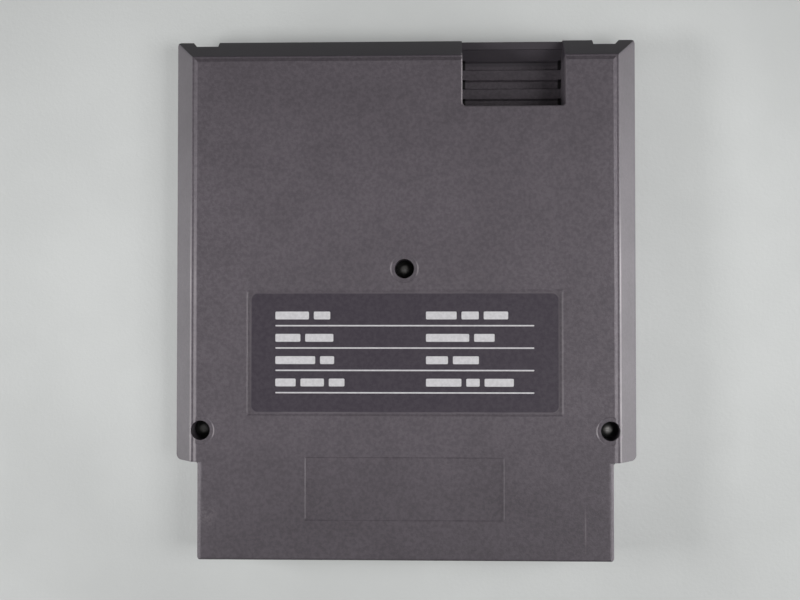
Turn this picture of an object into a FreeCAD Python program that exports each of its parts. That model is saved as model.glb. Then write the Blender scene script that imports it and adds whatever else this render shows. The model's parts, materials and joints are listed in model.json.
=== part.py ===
import FreeCAD, Part
import math
import os

# Game cartridge, lying on its front face with its back up.
# Millimetres: X across, Y towards the top end, Z up, origin under the middle of the case.

# Case
case_width = 120.0
case_length = 134.4
case_thickness = 17.0
wall = 2.0
shoulder_width = 6.8
plug_length = 24.9
bevel_run = 5.3
land_height = 2.55
edge_round = 0.4
ear_radius = 1.2
shoulder_radius = 1.5
shoulder_fillet = 0.9
plug_edge_radius = 1.6
plug_end_radius = 0.9
plug_corner_radius = 1.1
seam_chamfer = 0.2
fit_clearance = 0.15

# Raised panel on the back
panel_step = 0.45
panel_ledge = 0.5
panel_slope_run = 0.95

# Notches in the top end, one beside each ear
notch_width = 5.65
notch_depth = 1.5
notch_slant = 1.25
notch_inset = 4.15

# Finger recess and the ribbed grip in front of it
recess_width = 26.35
recess_length = 18.4
recess_inset = 18.8
recess_corner_radius = 1.0
recess_edge = 0.3
grip_pitch = 5.05
grip_groove_width = 2.5
grip_groove_depth = 2.6
grip_first_groove = 8.0
grip_length = 91.0
floor_groove_depth = 1.2
floor_groove_slope = 0.35
floor_groove_overrun = 0.8

# Sticker on the back and the sunken plate on the plug
sticker_width = 78.8
sticker_height = 30.7
sticker_corner_radius = 1.9
sticker_thickness = 0.15
sticker_margin_x = 0.55
sticker_margin_y = 0.3
sticker_recess_depth = 0.3
sticker_recess_slope = 0.5
sticker_above_shoulder = 12.3
plate_width = 50.3
plate_height = 15.6
plate_depth = 0.2
plate_slope = 0.3
plate_above_end = 10.4

# Bare label recess and insertion arrow on the front
front_label_width = 62.0
front_label_height = 93.0
front_label_depth = 0.3
front_label_gap = 2.4
arrow_width = 9.0
arrow_height = 7.0
arrow_depth = 0.3

# Screws and the bosses that hold them
lower_screw_inset = 7.7
lower_screw_above_shoulder = 8.1
centre_screw_above_sticker = 5.8
well_diameter = 5.0
spot_face_diameter = 6.8
spot_face_depth = 0.15
spot_face_slope = 0.3
boss_wall = 1.5
boss_flange = 1.75
screw_head_diameter = 4.5
screw_head_height = 2.2
screw_head_chamfer = 0.5
screw_thread_diameter = 3.0
screw_core_diameter = 2.5
screw_tip_gap = 0.6
thread_clearance = 0.1
core_clearance = 0.05
lobe_count = 6
lobe_cut_diameter = 1.2
lobe_cut_depth = 0.3
lobe_cut_sides = 6

# Snap hooks at the top end
hook_width = 5.0
hook_thickness = 1.6
hook_barb = 1.2
hook_barb_height = 1.8
hook_inset = 11.5
hook_from_top = 8.75
arch_leg = 1.6
arch_thickness = 2.0
arch_bar_height = 1.5
arch_below_seam = 0.9

# Rib on each side of the front half that keeps the halves in line
guide_thickness = 1.2
guide_rise = 0.8
guide_root = 1.2
guide_end_gap = 8.0

# Circuit board, its posts and the ribs behind the plug's mouth
board_thickness = 1.2
board_width = 102.0
board_above_screw = 2.0
board_shoulder_gap = 0.8
tongue_corner_radius = 0.6
board_clearance = 0.6
tongue_side_gap = 4.5
tongue_setback = 6.0
post_diameter = 6.0
pin_diameter = 3.0
post_inset = 6.0
post_from_board_top = 6.0
mouth_rib_thickness = 1.6

# Gold contacts on both faces of the board's tongue
contact_pitch = 2.5
contact_width = 1.7
contact_length = 14.0
contact_thickness = 0.1
contact_setback = 0.6
contact_margin = 1.5

# Chips in two-row packages
chip_height = 3.3
chip_standoff = 0.4
chip_draft = 0.35
chip_band = 0.5
chip_gap = 6.0
chip_notch_radius = 1.1
chip_notch_depth = 0.5
pin_pitch = 2.54
pin_width = 0.5
pin_thickness = 0.25
pin_tail = 0.9
pin_hole_diameter = 0.95
pin_hole_sides = 5
memory_pins_per_row = 14
memory_row_spacing = 15.24
memory_body_width = 13.5
memory_above_shoulder = 20.0
lockout_pins_per_row = 8
lockout_row_spacing = 7.62
lockout_body_width = 6.4
lockout_from_centre = 25.0
chip_end_length = 1.5

# Capacitors
can_diameter = 4.0
can_length = 7.0
can_from_centre = 27.0
bung_thickness = 0.5
bung_rim = 0.35
lead_diameter = 0.5
lead_sides = 4
lead_reach = 1.2
can_lead_spacing = 1.5
disc_diameter = 3.2
disc_thickness = 1.8
disc_standoff = 0.5
disc_lead_spacing = 2.0
disc_from_centre = 10.0
seat_gap = 0.1

# Tools that cut right through reach this far past what they cut
cut_margin = 1.0

# Places worked out from the sizes above
half_width = case_width / 2
top_y = case_length / 2
end_y = -case_length / 2
shoulder_y = end_y + plug_length
half_plug = half_width - shoulder_width
bevel_top_z = case_thickness - panel_step
bevel_drop = (bevel_top_z - land_height) / 2
bevel_slant = math.hypot(bevel_run, bevel_drop)
seam_z = bevel_top_z / 2
floor_z = wall
ceiling_z = bevel_top_z - wall
recess_right = half_width - recess_inset
recess_left = recess_right - recess_width
recess_end = top_y - recess_length
grip_floor_z = grip_groove_depth + wall
sticker_recess_width = sticker_width + 2 * sticker_margin_x
sticker_recess_height = sticker_height + 2 * sticker_margin_y
sticker_recess_low = shoulder_y + sticker_above_shoulder
sticker_centre_y = sticker_recess_low + sticker_recess_height / 2
centre_screw_y = sticker_recess_low + sticker_recess_height + centre_screw_above_sticker
lower_screw_x = half_width - lower_screw_inset
lower_screw_y = shoulder_y + lower_screw_above_shoulder
screw_places = [(0, centre_screw_y), (-lower_screw_x, lower_screw_y), (lower_screw_x, lower_screw_y)]
boss_radius = well_diameter / 2 + boss_wall
head_seat_z = seam_z + boss_flange
screw_tip_z = floor_z + screw_tip_gap
board_low_z = seam_z - board_thickness / 2
board_high_z = seam_z + board_thickness / 2
board_top = centre_screw_y + board_above_screw
board_shoulder = shoulder_y + wall + board_shoulder_gap
half_board = board_width / 2
half_tongue = half_plug - wall - tongue_side_gap
tongue_end = end_y + tongue_setback
post_x = half_board - post_inset
post_y = board_top - post_from_board_top
component_y = post_y
hook_x = half_width - hook_inset


# A closed wire through corners given as (u, v, radius), each rounded by its radius.
def outline(corners, place):
    points = [FreeCAD.Vector(u, v, 0) for u, v, radius in corners]
    turns = []
    for index, (u, v, radius) in enumerate(corners):
        corner = points[index]
        back = (points[index - 1] - corner).normalize()
        ahead = (points[(index + 1) % len(points)] - corner).normalize()
        half_turn = back.getAngle(ahead) / 2
        reach = radius / math.tan(half_turn)
        middle = corner + (back + ahead).normalize() * (radius / math.sin(half_turn) - radius)
        turns.append((corner + back * reach, middle, corner + ahead * reach, radius))
    edges = []
    for index, (first, middle, last, radius) in enumerate(turns):
        if radius > 0:
            edges.append(Part.Arc(place(first), place(middle), place(last)).toShape())
        following = turns[(index + 1) % len(turns)][0]
        edges.append(Part.LineSegment(place(last), place(following)).toShape())
    return Part.Wire(edges)


# Corners that are all sharp.
def sharp(*points):
    return [(u, v, 0) for u, v in points]


# The corners of a rectangle, all with one radius.
def rectangle(left, low, right, high, radius=0):
    return [(left, low, radius), (right, low, radius), (right, high, radius), (left, high, radius)]


# An outline in plan, as a wire at one height.
def plan_wire(corners, height):
    return outline(corners, lambda p: FreeCAD.Vector(p.x, p.y, height))


# An outline in plan, raised from one height to another.
def raised(corners, low, high):
    return Part.Face(plan_wire(corners, low)).extrude(FreeCAD.Vector(0, 0, high - low))


# A section across the case (X, Z), run along its length.
def run_along_length(corners, start, finish):
    section = outline(corners, lambda p: FreeCAD.Vector(p.x, start, p.y))
    return Part.Face(section).extrude(FreeCAD.Vector(0, finish - start, 0))


# A section along the case (Y, Z), run across its width.
def run_across(corners, left, right):
    section = outline(corners, lambda p: FreeCAD.Vector(left, p.x, p.y))
    return Part.Face(section).extrude(FreeCAD.Vector(right - left, 0, 0))


# A box between two opposite corners.
def block(first, second):
    low = FreeCAD.Vector(*[min(pair) for pair in zip(first, second)])
    size = [abs(a - b) for a, b in zip(first, second)]
    return Part.makeBox(*size, low)


# An upright cylinder between two heights.
def rod(x, y, diameter, low, high):
    return Part.makeCylinder(diameter / 2, high - low, FreeCAD.Vector(x, y, low))


# An upright prism of equal sides, with its flats as far apart as the given size.
def prism(x, y, across_flats, sides, low, high):
    radius = across_flats / 2 / math.cos(math.pi / sides)
    angles = [2 * math.pi * (index + 0.5) / sides for index in range(sides)]
    corners = [(x + radius * math.cos(angle), y + radius * math.sin(angle)) for angle in angles]
    return raised(sharp(*corners), low, high)


# Several shapes fused into one.
def joined(shapes):
    return shapes[0].multiFuse(shapes[1:])


def mirrored_pair(shape):
    return [shape, shape.mirror(FreeCAD.Vector(0, 0, 0), FreeCAD.Vector(1, 0, 0))]


# The outside of one half. side is 1 for the back half and -1 for the front half.
def half_outside(side, face_z, plug_face_z):
    land_z = face_z - side * bevel_drop
    chamfer_z = seam_z + side * seam_chamfer
    face_half = half_width - bevel_run
    section = [
        (-half_width + seam_chamfer, seam_z, 0),
        (half_width - seam_chamfer, seam_z, 0),
        (half_width, chamfer_z, 0),
        (half_width, land_z, edge_round),
        (face_half, face_z, edge_round),
        (-face_half, face_z, edge_round),
        (-half_width, land_z, edge_round),
        (-half_width, chamfer_z, 0),
    ]
    profile = [
        (shoulder_y + seam_chamfer, seam_z, 0),
        (top_y - seam_chamfer, seam_z, 0),
        (top_y, chamfer_z, 0),
        (top_y, land_z, edge_round),
        (top_y - bevel_run, face_z, edge_round),
        (shoulder_y, face_z, 0),
        (shoulder_y, chamfer_z, 0),
    ]
    plan = [
        (-half_width, shoulder_y, shoulder_radius),
        (half_width, shoulder_y, shoulder_radius),
        (half_width, top_y, ear_radius),
        (-half_width, top_y, ear_radius),
    ]
    wings = run_along_length(section, shoulder_y, top_y)
    wings = wings.common(run_across(profile, -half_width, half_width))
    wings = wings.common(raised(plan, min(seam_z, face_z), max(seam_z, face_z)))
    plug_section = [
        (-half_plug + seam_chamfer, seam_z, 0),
        (half_plug - seam_chamfer, seam_z, 0),
        (half_plug, chamfer_z, 0),
        (half_plug, plug_face_z, plug_edge_radius),
        (-half_plug, plug_face_z, plug_edge_radius),
        (-half_plug, chamfer_z, 0),
    ]
    plug_profile = [
        (end_y + seam_chamfer, seam_z, 0),
        (shoulder_y + wall, seam_z, 0),
        (shoulder_y + wall, plug_face_z, 0),
        (end_y, plug_face_z, plug_end_radius),
        (end_y, chamfer_z, 0),
    ]
    plug_plan = [
        (-half_plug, end_y, plug_corner_radius),
        (half_plug, end_y, plug_corner_radius),
        (half_plug, shoulder_y + wall, 0),
        (-half_plug, shoulder_y + wall, 0),
    ]
    plug = run_along_length(plug_section, end_y, shoulder_y + wall)
    plug = plug.common(run_across(plug_profile, -half_plug, half_plug))
    plug = plug.common(raised(plug_plan, min(seam_z, plug_face_z), max(seam_z, plug_face_z)))
    fillet_top_z = plug_face_z - side * plug_edge_radius
    corner = FreeCAD.Vector(half_plug, shoulder_y, chamfer_z)
    across = FreeCAD.Vector(shoulder_fillet, -shoulder_fillet, fillet_top_z - chamfer_z)
    fillet_block = block(corner, corner + across)
    fillet_hollow = rod(half_plug + shoulder_fillet, shoulder_y - shoulder_fillet, 2 * shoulder_fillet,
                        min(chamfer_z, fillet_top_z), max(chamfer_z, fillet_top_z))
    return joined([wings, plug] + mirrored_pair(fillet_block.cut(fillet_hollow)))


# The hollow of one half, with its walls parallel to the outside at the given inset.
def half_hollow(side, face_z, inset):
    roof_z = face_z - side * inset
    land_z = face_z - side * (bevel_drop + inset * (bevel_slant - bevel_drop) / bevel_run)
    past_seam_z = seam_z - side * cut_margin
    roof_shift = bevel_run + inset * (bevel_slant - bevel_run) / bevel_drop
    section = sharp(
        (-half_width + inset, past_seam_z),
        (half_width - inset, past_seam_z),
        (half_width - inset, land_z),
        (half_width - roof_shift, roof_z),
        (-half_width + roof_shift, roof_z),
        (-half_width + inset, land_z),
    )
    profile = sharp(
        (shoulder_y + inset, past_seam_z),
        (top_y - inset, past_seam_z),
        (top_y - inset, land_z),
        (top_y - roof_shift, roof_z),
        (shoulder_y + inset, roof_z),
    )
    chamber = run_along_length(section, shoulder_y, top_y)
    chamber = chamber.common(run_across(profile, -half_width, half_width))
    mouth = block((-half_plug + inset, end_y - cut_margin, past_seam_z),
                  (half_plug - inset, shoulder_y + inset + cut_margin, roof_z))
    return chamber.fuse(mouth)


# A notch beside each ear, cut through the top end between two heights.
def ear_notches(low, high):
    outer = half_width - notch_inset
    inner = outer - notch_slant - notch_width
    plan = sharp(
        (inner, top_y - notch_depth),
        (outer - notch_slant, top_y - notch_depth),
        (outer, top_y),
        (outer, top_y + cut_margin),
        (inner, top_y + cut_margin),
    )
    return mirrored_pair(raised(plan, low, high))


# The rib that closes the plug's mouth towards the chamber, on one side of the board.
def mouth_rib(board_face_z, root_z):
    return block((-half_plug + wall, shoulder_y - mouth_rib_thickness, board_face_z),
                 (half_plug - wall, shoulder_y, root_z))


# The widening, past its floor's edge, of a recess whose sides slope up through the back face.
def mouth_reach(depth, slope):
    return slope * (depth + cut_margin) / depth


# A tool that sinks a rectangle into the back face, with sloping sides.
def sloped_recess(left, low, right, high, depth, slope):
    reach = mouth_reach(depth, slope)
    mouth = rectangle(left - reach, low - reach, right + reach, high + reach)
    wires = [plan_wire(rectangle(left, low, right, high), case_thickness - depth),
             plan_wire(mouth, case_thickness + cut_margin)]
    return Part.makeLoft(wires, True, True)


# A tool that sinks a shallow round with a sloping side into the back face, about a screw.
def spot_face(x, y):
    low = FreeCAD.Vector(x, y, case_thickness - spot_face_depth)
    radius = spot_face_diameter / 2
    widest = radius + mouth_reach(spot_face_depth, spot_face_slope)
    return Part.makeCone(radius, widest, spot_face_depth + cut_margin, low)


# Back half: raised panel, finger recess, screw wells, hooks, posts and recesses.
def make_back_shell():
    face_half = half_width - bevel_run
    foot = panel_ledge
    crest = panel_ledge + panel_slope_run
    panel_low = rectangle(-face_half + foot, shoulder_y, face_half - foot, top_y - bevel_run - foot)
    panel_high = rectangle(-face_half + crest, shoulder_y, face_half - crest, top_y - bevel_run - crest)
    panel_wires = [plan_wire(panel_low, bevel_top_z), plan_wire(panel_high, case_thickness)]
    panel = Part.makeLoft(panel_wires, True, True)
    outside = half_outside(1, bevel_top_z, case_thickness).fuse(panel)
    root_z = ceiling_z + wall / 2
    inner = [rod(x, y, 2 * boss_radius, seam_z, root_z) for x, y in screw_places]
    inner += mirrored_pair(rod(post_x, post_y, post_diameter, board_high_z, root_z))
    inner.append(mouth_rib(board_high_z, root_z))
    inner.append(block((recess_left - wall, recess_end - wall, seam_z),
                       (recess_right + wall, top_y, bevel_top_z)))
    inner = joined(inner).common(outside)
    skirt = block((recess_left - wall, recess_end - wall, grip_floor_z + fit_clearance),
                  (recess_right + wall, top_y, seam_z))
    skirt = skirt.common(half_hollow(-1, 0, wall + fit_clearance))
    bar_low_z = seam_z - arch_below_seam - arch_bar_height
    barb_z = bar_low_z - fit_clearance
    hook_face = top_y - hook_from_top
    hook_profile = sharp(
        (hook_face - hook_thickness, root_z),
        (hook_face, root_z),
        (hook_face, barb_z),
        (hook_face + hook_barb, barb_z),
        (hook_face, barb_z - hook_barb_height),
        (hook_face - hook_thickness, barb_z - hook_barb_height),
    )
    hook = run_across(hook_profile, hook_x - hook_width / 2, hook_x + hook_width / 2)
    shell = joined([outside.cut(half_hollow(1, bevel_top_z, wall)), inner, skirt] + mirrored_pair(hook))
    recess_plan = [
        (recess_left, recess_end, recess_corner_radius),
        (recess_right, recess_end, recess_corner_radius),
        (recess_right, top_y + cut_margin, 0),
        (recess_left, top_y + cut_margin, 0),
    ]
    rim_radius = recess_corner_radius + recess_edge
    rim_plan = [
        (recess_left - recess_edge, recess_end - recess_edge, rim_radius),
        (recess_right + recess_edge, recess_end - recess_edge, rim_radius),
        (recess_right + recess_edge, top_y + cut_margin, 0),
        (recess_left - recess_edge, top_y + cut_margin, 0),
    ]
    rim_wires = [plan_wire(recess_plan, case_thickness - recess_edge), plan_wire(rim_plan, case_thickness)]
    recess_rim = Part.makeLoft(rim_wires, True, True)
    above_z = case_thickness + cut_margin
    cuts = [raised(recess_plan, grip_floor_z, above_z), recess_rim]
    sticker_recess_high = sticker_recess_low + sticker_recess_height
    cuts.append(sloped_recess(-sticker_recess_width / 2, sticker_recess_low, sticker_recess_width / 2,
                              sticker_recess_high, sticker_recess_depth, sticker_recess_slope))
    plate_low = end_y + plate_above_end
    cuts.append(sloped_recess(-plate_width / 2, plate_low, plate_width / 2, plate_low + plate_height,
                              plate_depth, plate_slope))
    for x, y in screw_places:
        cuts.append(spot_face(x, y))
        cuts.append(rod(x, y, well_diameter, head_seat_z, above_z))
        cuts.append(rod(x, y, screw_thread_diameter + 2 * thread_clearance, seam_z - cut_margin, above_z))
    cuts += ear_notches(seam_z - cut_margin, above_z)
    return shell.cut(Part.makeCompound(cuts))


# Front half: ribbed grip, screw bosses, board posts with pins, hook arches and guide ribs.
def make_front_shell():
    outside = half_outside(-1, 0, 0)
    root_z = floor_z - wall / 2
    inner = [rod(x, y, 2 * boss_radius, root_z, seam_z) for x, y in screw_places]
    inner += mirrored_pair(rod(post_x, post_y, post_diameter, root_z, board_low_z))
    inner.append(mouth_rib(board_low_z, root_z))
    inner.append(block((recess_left - wall, top_y - grip_length, root_z),
                       (recess_right + wall, top_y, grip_floor_z)))
    arch_top_z = seam_z - arch_below_seam
    arch_inner = hook_width / 2 + fit_clearance
    arch_outer = arch_inner + arch_leg
    arch_face = top_y - hook_from_top + fit_clearance
    arch_back = arch_face + arch_thickness
    arch = block((hook_x - arch_outer, arch_face, root_z), (hook_x + arch_outer, arch_back, arch_top_z))
    window = block((hook_x - arch_inner, arch_face - cut_margin, floor_z),
                   (hook_x + arch_inner, arch_back + cut_margin, arch_top_z - arch_bar_height))
    inner += mirrored_pair(arch.cut(window))
    inner = joined(inner).common(outside)
    # The guide leans in with the bevel, so that it clears the sloping wall of the back half.
    guide_face = half_width - wall - fit_clearance
    guide_lean = guide_rise * bevel_run / bevel_drop
    guide_section = sharp(
        (guide_face - guide_thickness, seam_z + guide_rise),
        (guide_face - guide_lean, seam_z + guide_rise),
        (guide_face, seam_z),
        (half_width - wall / 2, seam_z - guide_root),
        (guide_face - guide_thickness, seam_z - guide_root),
    )
    guide_start = lower_screw_y + guide_end_gap
    guide = run_along_length(guide_section, guide_start, top_y - bevel_run - guide_end_gap)
    pin = rod(post_x, post_y, pin_diameter, root_z, board_high_z - fit_clearance)
    hollowed = outside.cut(half_hollow(-1, 0, wall))
    shell = joined([hollowed, inner] + mirrored_pair(guide) + mirrored_pair(pin))
    cuts = []
    groove_y = top_y - grip_first_groove
    while groove_y - grip_groove_width / 2 > top_y - grip_length + wall:
        cuts.append(block((recess_left, groove_y - grip_groove_width / 2, -cut_margin),
                          (recess_right, groove_y + grip_groove_width / 2, grip_groove_depth)))
        floor_y = groove_y + grip_pitch / 2
        if floor_y + grip_groove_width / 2 > recess_end:
            groove_top = grip_groove_width / 2
            groove_bed = groove_top - floor_groove_slope
            groove_section = sharp((floor_y - groove_top, grip_floor_z),
                                   (floor_y - groove_bed, grip_floor_z - floor_groove_depth),
                                   (floor_y + groove_bed, grip_floor_z - floor_groove_depth),
                                   (floor_y + groove_top, grip_floor_z))
            cuts.append(run_across(groove_section, recess_left - floor_groove_overrun,
                                   recess_right + floor_groove_overrun))
        groove_y -= grip_pitch
    label_right = recess_left - front_label_gap
    label_top = top_y - bevel_run - edge_round
    cuts.append(block((label_right - front_label_width, label_top - front_label_height, -cut_margin),
                      (label_right, label_top, front_label_depth)))
    arrow_low = end_y + plug_length / 2 - arrow_height / 2
    arrow_high = arrow_low + arrow_height
    arrow = sharp((0, arrow_low), (arrow_width / 2, arrow_high), (-arrow_width / 2, arrow_high))
    cuts.append(raised(arrow, -cut_margin, arrow_depth))
    for x, y in screw_places:
        cuts.append(rod(x, y, screw_core_diameter + 2 * core_clearance, floor_z, seam_z + cut_margin))
    cuts += ear_notches(-cut_margin, seam_z + cut_margin)
    return shell.cut(Part.makeCompound(cuts))


def make_rear_label():
    low = case_thickness - sticker_recess_depth
    plan = rectangle(-sticker_width / 2, sticker_centre_y - sticker_height / 2,
                     sticker_width / 2, sticker_centre_y + sticker_height / 2, sticker_corner_radius)
    return raised(plan, low, low + sticker_thickness)


# One screw, turned about its axis: chamfered lobed head, core and blunt tip.
def make_screw(x, y):
    head_radius = screw_head_diameter / 2
    core_radius = screw_core_diameter / 2
    crown_z = head_seat_z + screw_head_height
    section = sharp(
        (0, screw_tip_z),
        (core_radius, screw_tip_z),
        (core_radius, head_seat_z),
        (head_radius, head_seat_z),
        (head_radius, crown_z - screw_head_chamfer),
        (head_radius - screw_head_chamfer, crown_z),
        (0, crown_z),
    )
    profile = Part.Face(outline(section, lambda p: FreeCAD.Vector(p.x, 0, p.y)))
    screw = profile.revolve(FreeCAD.Vector(0, 0, 0), FreeCAD.Vector(0, 0, 1), 360)
    lobe_ring = head_radius - lobe_cut_depth + lobe_cut_diameter / 2
    for index in range(lobe_count):
        angle = 2 * math.pi * index / lobe_count
        screw = screw.cut(prism(lobe_ring * math.cos(angle), lobe_ring * math.sin(angle), lobe_cut_diameter,
                                lobe_cut_sides, head_seat_z, crown_z))
    screw.translate(FreeCAD.Vector(x, y, 0))
    return screw


# Middle, body length and the places of the pins of a chip lying along X.
def chip_layout(centre_x, centre_y, pins_per_row):
    span = (pins_per_row - 1) * pin_pitch
    places = [(centre_x - span / 2 + index * pin_pitch) for index in range(pins_per_row)]
    return {"x": centre_x, "y": centre_y, "length": span + 2 * chip_end_length, "pins": places}


memory_length = (memory_pins_per_row - 1) * pin_pitch + 2 * chip_end_length
memory_x = (memory_length + chip_gap) / 2
memory_y = shoulder_y + memory_above_shoulder
chips = {
    "program_chip": (chip_layout(-memory_x, memory_y, memory_pins_per_row),
                     memory_body_width, memory_row_spacing),
    "picture_chip": (chip_layout(memory_x, memory_y, memory_pins_per_row),
                     memory_body_width, memory_row_spacing),
    "lockout_chip": (chip_layout(lockout_from_centre, component_y, lockout_pins_per_row),
                     lockout_body_width, lockout_row_spacing),
}
chip_middle_z = board_high_z + chip_standoff + chip_height / 2


# Moulded chip body: drafted above and below a flat band, with a half-round mark at one end.
def make_chip_body(layout, body_width):
    low = chip_middle_z - chip_height / 2
    high = chip_middle_z + chip_height / 2

    def drafted(half):
        return sharp((half - chip_draft, low), (half, chip_middle_z - chip_band / 2),
                     (half, chip_middle_z + chip_band / 2), (half - chip_draft, high),
                     (-half + chip_draft, high), (-half, chip_middle_z + chip_band / 2),
                     (-half, chip_middle_z - chip_band / 2), (-half + chip_draft, low))

    body = run_along_length(drafted(layout["length"] / 2), -body_width / 2, body_width / 2)
    body = body.common(run_across(drafted(body_width / 2), -layout["length"] / 2, layout["length"] / 2))
    body = body.cut(rod(-layout["length"] / 2, 0, 2 * chip_notch_radius, high - chip_notch_depth, high))
    body.translate(FreeCAD.Vector(layout["x"], layout["y"], 0))
    return body


# The bent pins of one chip, from the body's band down through the board.
def make_chip_pins(layout, body_width, row_spacing):
    row = row_spacing / 2
    half = pin_thickness / 2
    profile = sharp((body_width / 2, chip_middle_z + half), (row + half, chip_middle_z + half),
                    (row + half, board_low_z - pin_tail), (row - half, board_low_z - pin_tail),
                    (row - half, chip_middle_z - half), (body_width / 2, chip_middle_z - half))
    pins = []
    for x in layout["pins"]:
        pin = run_across(profile, x - pin_width / 2, x + pin_width / 2)
        other = pin.mirror(FreeCAD.Vector(0, 0, 0), FreeCAD.Vector(0, 1, 0))
        for shape in (pin, other):
            shape.translate(FreeCAD.Vector(0, layout["y"], 0))
            pins.append(shape)
    return Part.makeCompound(pins)


can_x = -can_from_centre
can_axis_z = board_high_z + seat_gap + can_diameter / 2
can_end_x = can_x + can_length / 2
can_lead_x = can_end_x + lead_reach
can_lead_ys = (component_y - can_lead_spacing / 2, component_y + can_lead_spacing / 2)
disc_places = {"bypass_capacitor_a": -disc_from_centre, "bypass_capacitor_b": disc_from_centre}
disc_y = component_y
disc_axis_z = board_high_z + disc_standoff + disc_diameter / 2


# The lying can: a drawn cup, open at the end that the bung fills.
def make_capacitor_can():
    radius = can_diameter / 2
    bore = radius - bung_rim
    profile = sharp(
        (can_x - can_length / 2, 0),
        (can_x - can_length / 2, radius),
        (can_end_x, radius),
        (can_end_x, bore),
        (can_end_x - bung_thickness, bore),
        (can_end_x - bung_thickness, 0),
    )
    section = outline(profile, lambda p: FreeCAD.Vector(p.x, component_y, can_axis_z + p.y))
    axis_point = FreeCAD.Vector(0, component_y, can_axis_z)
    return Part.Face(section).revolve(axis_point, FreeCAD.Vector(1, 0, 0), 360)


# One lead of the can: out through the bung, then down through the board.
def make_can_lead(y):
    half = lead_diameter / 2
    profile = sharp(
        (can_end_x - bung_thickness, can_axis_z - half),
        (can_lead_x - half, can_axis_z - half),
        (can_lead_x - half, board_low_z - pin_tail),
        (can_lead_x + half, board_low_z - pin_tail),
        (can_lead_x + half, can_axis_z + half),
        (can_end_x - bung_thickness, can_axis_z + half),
    )
    return run_along_length(profile, y - half, y + half)


can_leads = Part.makeCompound([make_can_lead(y) for y in can_lead_ys])


def make_bung():
    start = FreeCAD.Vector(can_end_x - bung_thickness, component_y, can_axis_z)
    radius = can_diameter / 2 - bung_rim
    return Part.makeCylinder(radius, bung_thickness, start, FreeCAD.Vector(1, 0, 0)).cut(can_leads)


# A disc capacitor standing on its leads.
def make_disc(x):
    start = FreeCAD.Vector(x, disc_y - disc_thickness / 2, disc_axis_z)
    return Part.makeCylinder(disc_diameter / 2, disc_thickness, start, FreeCAD.Vector(0, 1, 0))


def make_disc_leads(x):
    leads = [prism(x + offset, disc_y, lead_diameter, lead_sides, board_low_z - pin_tail, disc_axis_z)
             for offset in (-disc_lead_spacing / 2, disc_lead_spacing / 2)]
    return Part.makeCompound([lead.cut(make_disc(x)) for lead in leads])


# T-shaped board: cut clear of the bosses, drilled for the posts' pins, the chips and the capacitors.
def make_board():
    plan = [
        (-half_tongue, tongue_end, tongue_corner_radius),
        (half_tongue, tongue_end, tongue_corner_radius),
        (half_tongue, board_shoulder, 0),
        (half_board, board_shoulder, 0),
        (half_board, board_top, 0),
        (-half_board, board_top, 0),
        (-half_board, board_shoulder, 0),
        (-half_tongue, board_shoulder, 0),
    ]
    board = raised(plan, board_low_z, board_high_z)
    boss_gap = boss_radius + board_clearance
    drill_low = board_low_z - cut_margin
    drill_high = board_high_z + cut_margin
    cuts = [rod(x, y, 2 * boss_gap, drill_low, drill_high) for x, y in screw_places]
    cuts.append(block((-boss_gap, centre_screw_y, drill_low),
                      (boss_gap, board_top + cut_margin, drill_high)))
    cuts += mirrored_pair(rod(post_x, post_y, pin_diameter + 2 * fit_clearance, drill_low, drill_high))
    drilled = [(can_lead_x, y) for y in can_lead_ys]
    for x in disc_places.values():
        drilled += [(x - disc_lead_spacing / 2, disc_y), (x + disc_lead_spacing / 2, disc_y)]
    for layout, body_width, row_spacing in chips.values():
        for x in layout["pins"]:
            drilled += [(x, layout["y"] - row_spacing / 2), (x, layout["y"] + row_spacing / 2)]
    cuts += [prism(x, y, pin_hole_diameter, pin_hole_sides, drill_low, drill_high) for x, y in drilled]
    return board.cut(Part.makeCompound(cuts))


# A row of contact pads on one face of the tongue.
def make_contacts(low, high):
    gaps = math.floor((2 * half_tongue - 2 * contact_margin - contact_width) / contact_pitch)
    start = tongue_end + contact_setback
    pads = []
    for index in range(gaps + 1):
        x = (index - gaps / 2) * contact_pitch
        pads.append(block((x - contact_width / 2, start, low),
                          (x + contact_width / 2, start + contact_length, high)))
    return Part.makeCompound(pads)


parts = {
    "back_shell": make_back_shell(),
    "front_shell": make_front_shell(),
    "rear_label": make_rear_label(),
    "case_screws": Part.makeCompound([make_screw(x, y) for x, y in screw_places]),
    "circuit_board": make_board(),
    "component_side_contacts": make_contacts(board_high_z, board_high_z + contact_thickness),
    "solder_side_contacts": make_contacts(board_low_z - contact_thickness, board_low_z),
    "supply_capacitor_can": make_capacitor_can(),
    "supply_capacitor_bung": make_bung(),
    "supply_capacitor_leads": can_leads,
}
for name, (layout, body_width, row_spacing) in chips.items():
    parts[name] = make_chip_body(layout, body_width)
    parts[name + "_pins"] = make_chip_pins(layout, body_width, row_spacing)
for name, x in disc_places.items():
    parts[name] = make_disc(x)
    parts[name + "_leads"] = make_disc_leads(x)

os.makedirs("parts", exist_ok=True)
for name, shape in parts.items():
    shape.exportStep("parts/" + name + ".step")
    box = shape.BoundBox
    print(name, "solids", len(shape.Solids), "valid", shape.isValid(), "volume", round(shape.Volume, 1),
          "x", round(box.XMin, 2), round(box.XMax, 2), "y", round(box.YMin, 2), round(box.YMax, 2),
          "z", round(box.ZMin, 2), round(box.ZMax, 2))
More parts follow.
